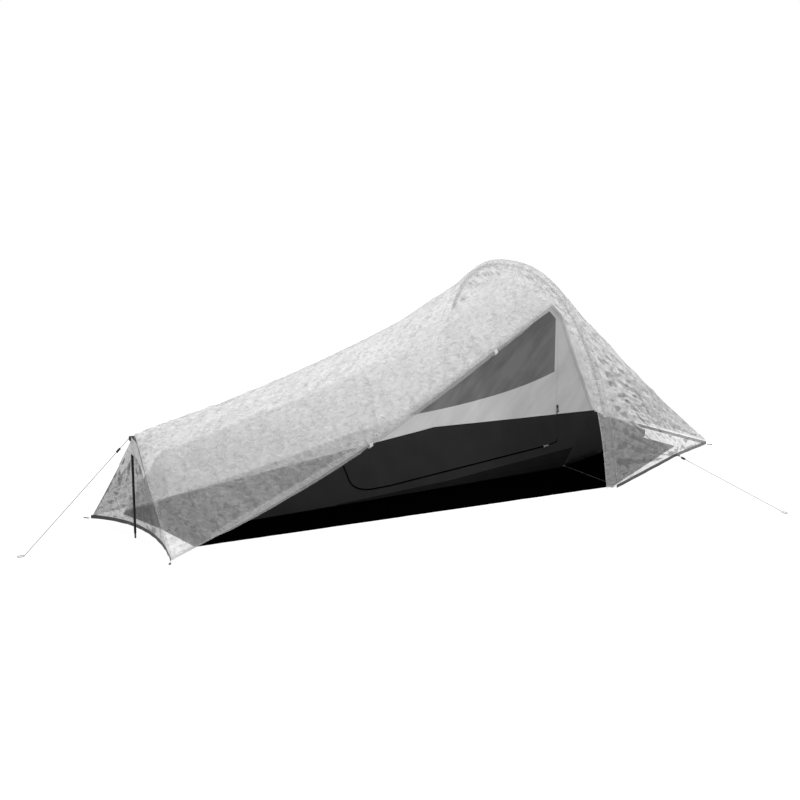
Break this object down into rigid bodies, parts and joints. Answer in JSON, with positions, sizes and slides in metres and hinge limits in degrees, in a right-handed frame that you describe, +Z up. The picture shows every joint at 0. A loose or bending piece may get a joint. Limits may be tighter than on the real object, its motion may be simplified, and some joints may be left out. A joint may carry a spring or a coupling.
{
  "type": "single-hoop bivy tent",
  "caption": "One-person low tunnel tent: a translucent fly over one hoop pole and a short foot strut, with a dark-walled inner, an open side door, a groundsheet and guylines.",
  "frame": {"origin": "on the ground, at the middle of the pitched tent's length and width", "axes": "+X along the sleeper towards the head end, -Y the side with the door, +Z up"},
  "size_m": [3.1329, 1.7532, 0.8784],
  "materials": {
    "pole_alloy": "dark anodised tube",
    "ferrule_alloy": "dark anodised sleeve",
    "strut_alloy": "dark anodised tube",
    "shock_cord": "braided elastic cord",
    "fly_film": "thin crinkled translucent white laminate",
    "grey_webbing": "dark grey woven tape",
    "black_groundsheet": "smooth black coated sheet",
    "tub_floor": "black coated fabric",
    "tub_wall": "dark grey coated fabric",
    "inner_fabric": "thin light grey woven fabric",
    "insect_mesh": "fine dark knitted mesh",
    "zip_coil": "black coil zip on woven tape",
    "black_plastic": "moulded black plastic",
    "pale_cord": "thin pale braided cord"
  },
  "bodies": {
    "tent": {"hoop_pole_1": "pole_alloy", "hoop_pole_2": "pole_alloy", "hoop_pole_3": "pole_alloy", "hoop_pole_4": "pole_alloy", "hoop_pole_5": "pole_alloy", "hoop_ferrule_1": "ferrule_alloy", "hoop_ferrule_2": "ferrule_alloy", "hoop_ferrule_3": "ferrule_alloy", "hoop_ferrule_4": "ferrule_alloy", "hoop_shock_cord": "shock_cord", "hoop_sleeve": "fly_film", "hoop_tip_near": "black_plastic", "hoop_tip_far": "black_plastic", "foot_strut": "strut_alloy", "foot_strut_tip": "black_plastic", "fly_side_near": "fly_film", "fly_side_far": "fly_film", "fly_hoop_band": "fly_film", "fly_foot_panel": "fly_film", "fly_foot_hem": "grey_webbing", "fly_head_near": "fly_film", "fly_head_far": "fly_film", "fly_head_roof": "fly_film", "fly_head_hem": "grey_webbing", "fly_door_roll": "fly_film", "fly_door_tie_1": "grey_webbing", "fly_door_tie_2": "grey_webbing", "groundsheet": "black_groundsheet", "inner_floor": "tub_floor", "inner_floor_strip": "tub_floor", "inner_near_lower": "tub_wall", "inner_near_upper": "inner_fabric", "inner_near_right": "inner_fabric", "inner_far_lower": "tub_wall", "inner_far_upper": "inner_fabric", "inner_head_lower": "tub_wall", "inner_head_near": "inner_fabric", "inner_head_far": "inner_fabric", "inner_foot_wall": "inner_fabric", "inner_foot_lower": "tub_wall", "inner_door_zip": "zip_coil", "peg_loop_foot_near": "grey_webbing", "peg_loop_foot_far": "grey_webbing", "peg_loop_head_near": "grey_webbing", "peg_loop_head_far": "grey_webbing", "guyline_foot": "pale_cord", "guyline_head_near": "pale_cord", "ridge_tab": "grey_webbing", "pull_out_tab_near": "grey_webbing", "pull_out_tab_far": "grey_webbing", "shoulder_cord": "shock_cord", "shoulder_loop": "grey_webbing"},
    "inner_door": {"inner_door_lower": "tub_wall", "inner_door_band": "inner_fabric", "inner_door_mesh": "insect_mesh"},
    "slider_low": {"zip_slider_low": "black_plastic"},
    "slider_side": {"zip_slider_side": "black_plastic"},
    "foot_runner": {"runner_foot": "black_plastic"},
    "near_runner": {"runner_head_near": "black_plastic"}
  },
  "joints": [
    {"name": "inner_door_hinge", "type": "hinge", "parent": "tent", "child": "inner_door", "pos_m": [0.06953, -0.04861, 0.42423], "axis": [-0.9151, -0.0275, -0.4022], "range_deg": [0, 50]},
    {"name": "zip_slide_low", "type": "slide", "parent": "tent", "child": "slider_low", "axis": [-0.9953, 0.0658, -0.0712], "range_m": [0, 0.76]},
    {"name": "zip_slide_side", "type": "slide", "parent": "tent", "child": "slider_side", "axis": [0.1987, 0.2321, 0.9522], "range_m": [-0.12, 0.36]},
    {"name": "foot_runner_slide", "type": "slide", "parent": "tent", "child": "foot_runner", "axis": [-0.7269, 0.0773, -0.6824], "range_m": [-0.03, 0.35]},
    {"name": "near_runner_slide", "type": "slide", "parent": "tent", "child": "near_runner", "axis": [-0.1121, -0.9848, -0.1329], "range_m": [-0.012, 0.4]}
  ]
}
